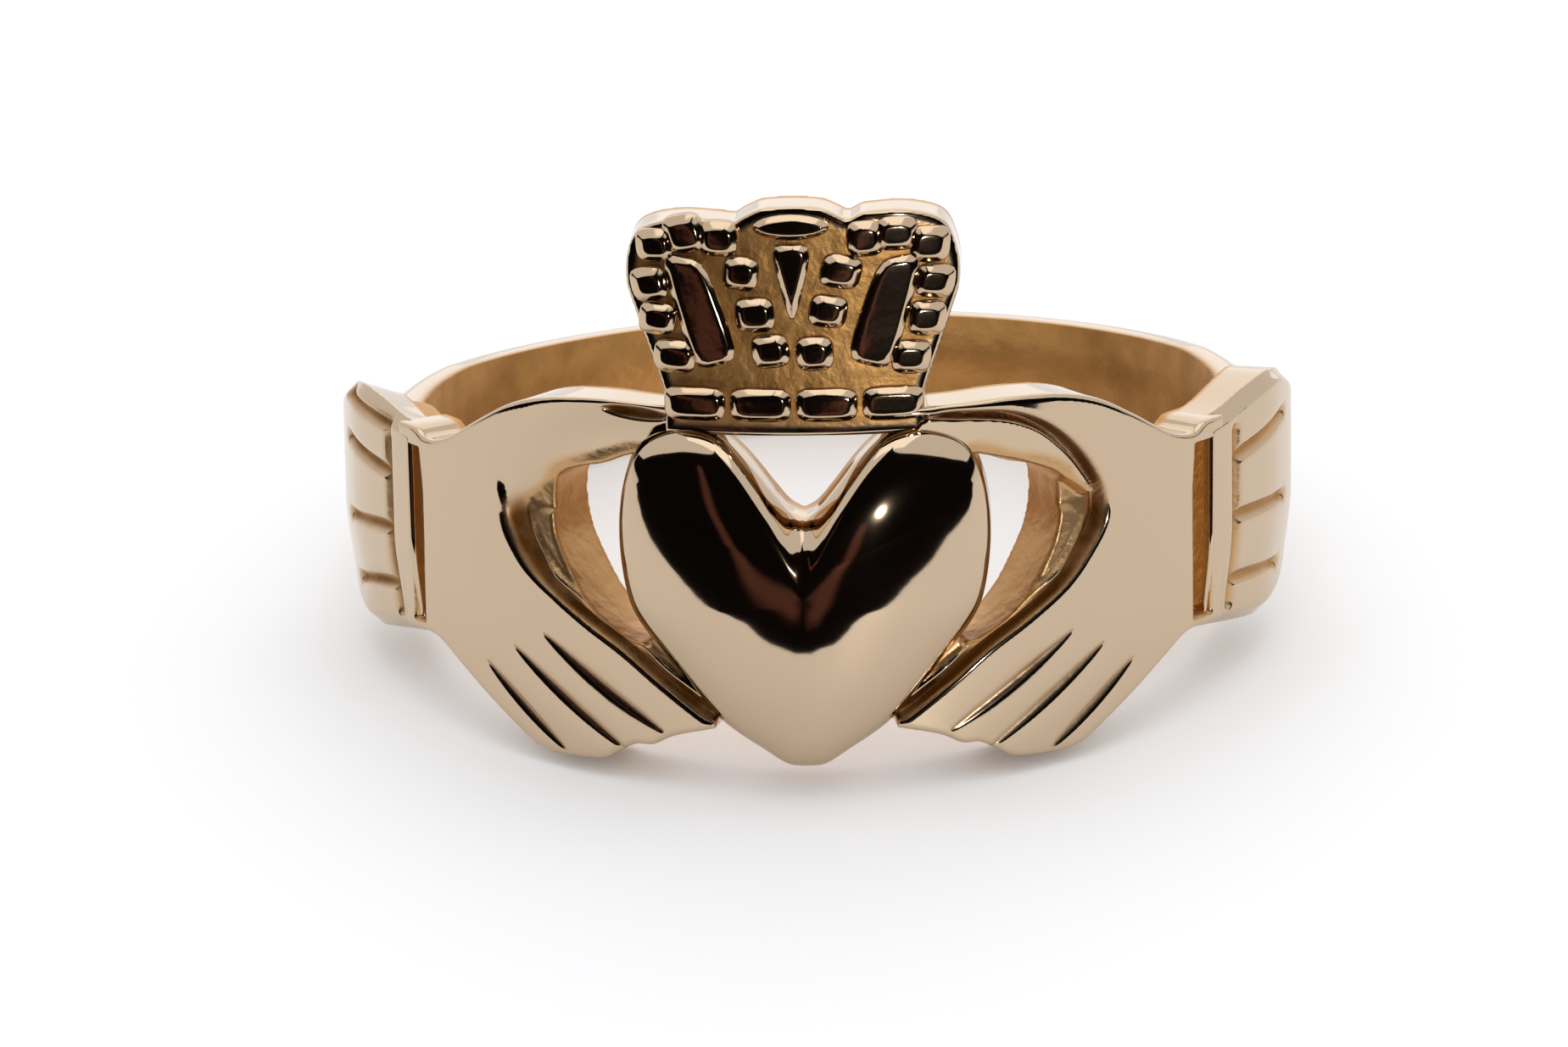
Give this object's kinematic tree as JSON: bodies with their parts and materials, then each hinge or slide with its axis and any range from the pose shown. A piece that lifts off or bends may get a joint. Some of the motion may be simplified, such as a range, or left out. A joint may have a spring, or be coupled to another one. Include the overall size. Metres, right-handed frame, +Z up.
{
  "type": "claddagh ring",
  "caption": "Gold claddagh ring: cuffed hands hold a crowned, domed heart, with open gaps beside and above the heart and a plain rounded band behind.",
  "frame": {"origin": "centre of the finger hole, level with the middle of the band's height", "axes": "+Z up from the surface that the ring lies on, -Y the way the heart faces, +X to the right of the front view; the finger hole's axis leans back from +Z by 9.2 degrees, because the ring lies on its fingertips and on the lower edge of its band at the back"},
  "size_m": [0.0206, 0.021, 0.0123],
  "materials": {
    "gold": "polished pale yellow gold, with dark brown tarnish in the creases and a rougher, warmer inside"
  },
  "bodies": {
    "root": {"ring": "gold"}
  },
  "joints": []
}
